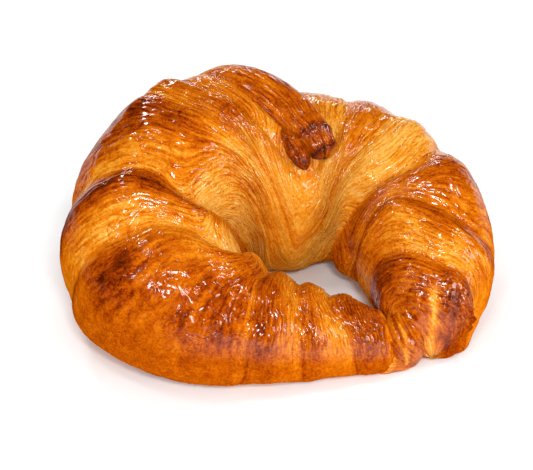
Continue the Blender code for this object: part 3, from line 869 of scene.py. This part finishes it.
def roll_piece(name, rows, own_seed, bakes, crease=None):
    """A thin roll of dough through points in the stations' coordinates, with a radius at each."""
    share = np.linspace(0, 1, ROLL_RINGS)
    x, y, z, radius = curve_through(rows, share * (len(rows) - 1)).T
    area = np.clip(1 - (2 * share - 1) ** ROLL_BLUNTNESS, ROLL_END_AREA, 1)
    radius = (radius * np.sqrt(area))[:, None]
    around = np.linspace(0, 2 * math.pi, ROLL_SIDES, endpoint=False)
    share, turn = np.meshgrid(share, around, indexing="ij")
    middle = np.stack([x, y, z], axis=-1)
    points = tube(middle, ROLL_REFERENCE, radius * np.cos(turn), radius * np.sin(turn))
    ring = np.stack([np.cos(turn), np.sin(turn), share], axis=-1) * ROLL_GRAIN
    wrinkles = bumps(points, *ROLL_WRINKLES, own_seed)
    points = raised(points, ripples(ring, *ROLL_LUMPS, own_seed) + wrinkles)
    bake = blend(bakes, share) + ripples(ring, *ROLL_MOTTLING, own_seed)
    if crease:
        place, breadth, depth = crease
        beside = points[..., 0] - x[:, None] + bumps(points, *CREASE_BENDS, own_seed)
        fold = np.exp(-(((beside - place) / breadth) ** 2))
        points = raised(points, -depth * fold)
        bake = bake - CREASE_PALER * fold
    glaze = np.full(bake.shape, ROLL_GLAZE)
    return small_piece(name, points, bake, ring * ROLL_SHADER_GRAIN, glaze)


def tongue_fold_rows(spine):
    s, angle, lift, radius = np.array(TONGUE_FOLD).T
    angle = np.radians(angle)
    middle = spine.point(s, angle) + spine.outward(s, angle) * lift[:, None]
    return np.column_stack([middle, radius])


COLOR_A, COLOR_B, COLOR_RESULT = 6, 7, 2  # the mix node's sockets for colours


class Shader:
    """A material's node tree, with short calls for the nodes that it needs."""

    def __init__(self, name, surface):
        self.material = bpy.data.materials.new(name)
        self.material.use_nodes = True
        self.tree = self.material.node_tree
        self.surface = self.tree.nodes["Principled BSDF"]
        for key, value in surface.items():
            self.put(value, self.surface.inputs[key])

    def node(self, kind, **settings):
        made = self.tree.nodes.new("ShaderNode" + kind)
        for key, value in settings.items():
            setattr(made, key, value)
        return made

    def put(self, value, socket):
        if isinstance(value, bpy.types.NodeSocket):
            self.tree.links.new(value, socket)
        else:
            socket.default_value = value

    def filled(self, kind, output, inputs, **settings):
        """The output of a new node whose inputs are given by name or number."""
        made = self.node(kind, **settings)
        for key, value in inputs.items():
            self.put(value, made.inputs[key])
        return made.outputs[output]

    def attribute(self, name, output="Fac"):
        return self.filled("Attribute", output, {}, attribute_name=name)

    def math(self, operation, a, b):
        return self.filled("Math", "Value", {0: a, 1: b}, operation=operation)

    def noise(self, vector, scale, detail, roughness, distortion):
        inputs = {"Vector": vector, "Scale": scale, "Detail": detail, "Roughness": roughness}
        return self.filled("TexNoise", "Fac", {**inputs, "Distortion": distortion})

    def cells(self, vector, scale):
        """Distance from the middle of the nearest cell."""
        return self.filled("TexVoronoi", "Distance", {"Vector": vector, "Scale": scale})

    def rescale(self, value, low, high, to_low, to_high):
        inputs = {"Value": value, "From Min": low, "From Max": high, "To Min": to_low}
        return self.filled("MapRange", "Result", {**inputs, "To Max": to_high}, clamp=True)

    def spread(self, value, reach):
        """A noise, spread from minus the reach to the reach."""
        return self.rescale(value, *NOISE_RANGE, -reach, reach)

    def ramp(self, value, stops):
        made = self.node("ValToRGB")
        self.put(value, made.inputs["Fac"])
        elements = made.color_ramp.elements
        while len(elements) < len(stops):
            elements.new(0.5)
        for element, (place, color) in zip(elements, stops):
            element.position = place
            element.color = (*color, 1.0)
        return made.outputs["Color"]

    def mix(self, share, a, b):
        inputs = {"Factor": share, COLOR_A: a, COLOR_B: b}
        return self.filled("Mix", COLOR_RESULT, inputs, data_type="RGBA")

    def bump(self, height, distance, normal=None):
        inputs = {"Height": height, "Distance": distance, "Strength": 1.0}
        if normal is not None:
            inputs["Normal"] = normal
        return self.filled("Bump", "Normal", inputs)


# The crust's material

# Colour by how brown it is baked, linear.
BAKE_COLORS = [
    (0.00, (0.92, 0.47, 0.09)),
    (0.22, (0.84, 0.305, 0.018)),
    (0.42, (0.70, 0.175, 0.003)),
    (0.62, (0.50, 0.088, 0.001)),
    (0.80, (0.27, 0.030, 0.0007)),
    (1.00, (0.07, 0.008, 0.0005)),
]
# Noises: scale, detail, roughness, distortion.
LAMINATION_NOISE = (1.0, 3.0, 0.6, 0.3)
MOTTLING_NOISE = (190.0, 4.0, 0.6, 0.6)
SWIRL_NOISE = (620.0, 2.0, 0.5, 2.2)
GRIT_NOISE = (1700.0, 2.0, 0.6, 0.5)
DASH_NOISE = (1.0, 1.0, 0.5, 0.4)
PORED_NOISE = (90.0, 2.0, 0.5, 0.0)  # where there are pores
BLISTERED_NOISE = (60.0, 2.0, 0.5, 0.0)  # where there are blisters
NOISE_RANGE = (0.3, 0.7)  # the part of a noise's range that is used
LAMINATION_BAKE, MOTTLING_BAKE, SWIRL_BAKE = 0.26, 0.08, 0.11  # how far each changes the bake
# Changes of one value by another: from, to, value there, and value there.
LAMINATION_BY_BAKE = (0.25, 0.6, 1.0, 0.7)
PIT_BY_DISTANCE = (0.10, 0.22, 0.5, 0.0)
PITS_BY_NOISE = (0.5, 0.62, 0.0, 1.0)
DOME_BY_DISTANCE = (0.0, 0.24, 1.0, 0.0)
DOMES_BY_NOISE = (0.42, 0.6, 0.0, 1.0)
ROUGHNESS_BY_BAKE = (0.2, 0.7, 0.55, 0.4)
PORES_A_METRE, BLISTERS_A_METRE = 520.0, 330.0
PORE_COLOR = (0.16, 0.03, 0.004, 1.0)
DASH_STRETCH = (0.9, 3.0, 3.0)  # dashes of the glaze, across the layers and twice along them
# Heights in metres: of the glaze's film, and of the crust beneath it.
FILM_BLISTERS, FILM_DASHES = 0.00014, 0.00004
CRUST_LAMINATIONS, CRUST_SWIRLS, CRUST_GRIT = 0.0006, 0.0005, 0.00018
CRUST_SURFACE = {
    "Specular IOR Level": 0.0,
    "Coat IOR": 1.45,
    "Coat Roughness": 0.10,
    "Subsurface Weight": 0.12,
    "Subsurface Radius": (1.0, 0.35, 0.1),
    "Subsurface Scale": 0.0015,
}


def crust_color(shader, place, browned):
    """The bake's colour, with dark pores here and there."""
    pits = shader.rescale(shader.cells(place, PORES_A_METRE), *PIT_BY_DISTANCE)
    pored = shader.rescale(shader.noise(place, *PORED_NOISE), *PITS_BY_NOISE)
    pits = shader.math("MULTIPLY", pits, pored)
    return shader.mix(pits, shader.ramp(browned, BAKE_COLORS), PORE_COLOR)


def glaze_film(shader, place, grain):
    """Normal of the glaze: blisters here and there, and short dashes along the layers."""
    domes = shader.rescale(shader.cells(place, BLISTERS_A_METRE), *DOME_BY_DISTANCE)
    blistered = shader.rescale(shader.noise(place, *BLISTERED_NOISE), *DOMES_BY_NOISE)
    stretched = shader.filled("VectorMath", "Vector", {0: grain, 1: DASH_STRETCH},
                              operation="MULTIPLY")
    film = shader.bump(shader.math("MULTIPLY", domes, blistered), FILM_BLISTERS)
    return shader.bump(shader.noise(stretched, *DASH_NOISE), FILM_DASHES, film)


def crust_material():
    shader = Shader("baked_crust", CRUST_SURFACE)
    place = shader.node("TexCoord").outputs["Object"]
    grain = shader.attribute("grain", "Vector")
    bake = shader.attribute("bake")
    lines = shader.attribute("lines")
    laminations = shader.noise(grain, *LAMINATION_NOISE)
    swirls = shader.noise(place, *SWIRL_NOISE)
    change = shader.math("MULTIPLY", shader.spread(laminations, LAMINATION_BAKE),
                         shader.rescale(bake, *LAMINATION_BY_BAKE))
    change = shader.math("MULTIPLY", change, lines)
    mottling = shader.spread(shader.noise(place, *MOTTLING_NOISE), MOTTLING_BAKE)
    change = shader.math("ADD", change, mottling)
    change = shader.math("ADD", change, shader.spread(swirls, SWIRL_BAKE))
    browned = shader.math("ADD", bake, change)
    normal = shader.bump(shader.math("MULTIPLY", laminations, lines), CRUST_LAMINATIONS)
    normal = shader.bump(swirls, CRUST_SWIRLS, normal)
    normal = shader.bump(shader.noise(place, *GRIT_NOISE), CRUST_GRIT, normal)
    sockets = {
        "Base Color": crust_color(shader, place, browned),
        "Roughness": shader.rescale(browned, *ROUGHNESS_BY_BAKE),
        "Normal": normal,
        "Coat Normal": glaze_film(shader, place, grain),
        "Coat Weight": shader.attribute("glaze"),
    }
    for key, value in sockets.items():
        shader.put(value, shader.surface.inputs[key])
    return shader.material


# The studio

FLOOR_HALF = 3.0
FLOOR_SURFACE = {
    "Base Color": (0.94, 0.985, 0.995, 1.0),
    "Roughness": 0.7,
    "Specular IOR Level": 0.2,
}
WHITE = (1.0, 1.0, 1.0, 1.0)
WORLD_STRENGTH = 0.38
CAMERA_ELEVATION = 40.0
CAMERA_DISTANCE = 0.526
CAMERA_LENS, CAMERA_SENSOR = 115.0, 36.0
CAMERA_NEAREST = 0.01
CAMERA_TARGET = (-CENTRE[0] * MM, -CENTRE[1] * MM, 0.0197)
# Softboxes: place, the point that they face, size, power.
LIGHTS_AIM = (0.0, 0.0, 0.02)
FILL = "overhead"  # the one that the glaze doesn't reflect
SOFTBOXES = {
    FILL: ((0.05, 0.05, 1.60), (0.0, 0.0, 0.0), (0.90, 0.90), 2.0),
    "low_back": ((0.0, 0.85, 0.24), LIGHTS_AIM, (0.60, 0.03), 1.1),
    "high_back": ((-0.32, 0.58, 0.46), LIGHTS_AIM, (0.12, 0.08), 1.0),
    "above_left": ((-0.33, 0.02, 0.85), LIGHTS_AIM, (0.12, 0.08), 0.7),
    "high_front": ((0.10, -0.54, 0.66), LIGHTS_AIM, (0.17, 0.13), 2.5),
    "right_side": ((0.66, 0.14, 0.57), LIGHTS_AIM, (0.09, 0.11), 0.9),
    "left_front": ((-0.25, -0.64, 0.48), LIGHTS_AIM, (0.11, 0.10), 1.3),
    "far_left_front": ((-0.50, -0.48, 0.62), LIGHTS_AIM, (0.06, 0.10), 0.6),
    "low_front": ((0.06, -0.82, 0.26), LIGHTS_AIM, (0.12, 0.07), 0.7),
    "low_right_front": ((0.72, -0.45, 0.30), LIGHTS_AIM, (0.34, 0.24), 2.9),
}


def floor():
    mesh = bpy.data.meshes.new("floor")
    corners = [(-1, -1), (1, -1), (1, 1), (-1, 1)]
    mesh.from_pydata([(x * FLOOR_HALF, y * FLOOR_HALF, 0) for x, y in corners], [], [(0, 1, 2, 3)])
    mesh.materials.append(Shader("floor_paint", FLOOR_SURFACE).material)
    return placed("floor", mesh)


def softbox(name, place, target, size, power):
    light = bpy.data.lights.new(name, "AREA")
    light.shape = "RECTANGLE"
    light.size, light.size_y = size
    light.energy = power
    thing = placed(name, light)
    thing.visible_glossy = name != FILL
    aim(thing, place, target)


def camera():
    elevation = math.radians(CAMERA_ELEVATION)
    back = Vector((0.0, -math.cos(elevation), math.sin(elevation)))
    lens = bpy.data.cameras.new("camera")
    lens.lens, lens.sensor_width = CAMERA_LENS, CAMERA_SENSOR
    lens.clip_start = CAMERA_NEAREST
    thing = placed("camera", lens)
    aim(thing, Vector(CAMERA_TARGET) + back * CAMERA_DISTANCE, CAMERA_TARGET)
    bpy.context.scene.camera = thing


def world():
    surroundings = bpy.data.worlds.new("studio")
    surroundings.use_nodes = True
    background = surroundings.node_tree.nodes["Background"]
    background.inputs["Color"].default_value = WHITE
    background.inputs["Strength"].default_value = WORLD_STRENGTH
    surroundings.cycles_visibility.glossy = False
    bpy.context.scene.world = surroundings


def main():
    spine, field = Spine(), LayerField()
    pieces = body_pieces(spine, field)
    pieces.append(tongue_piece(spine))
    fold = tongue_fold_rows(spine)
    pieces.append(roll_piece("tongue_fold", fold, TONGUE_FOLD_SEED, TONGUE_FOLD_BAKE))
    pieces.append(roll_piece("seam_lip", SEAM_LIP, SEAM_LIP_SEED, SEAM_LIP_BAKE, SEAM_CREASE))
    crust = crust_material()
    for piece in pieces:
        piece.data.materials.append(crust)
        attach(piece, "root")
        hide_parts("croissant")
    floor()
    for name, settings in SOFTBOXES.items():
        softbox(name, *settings)
    world()
    camera()
    bpy.context.scene.view_settings.view_transform = "Standard"


main()
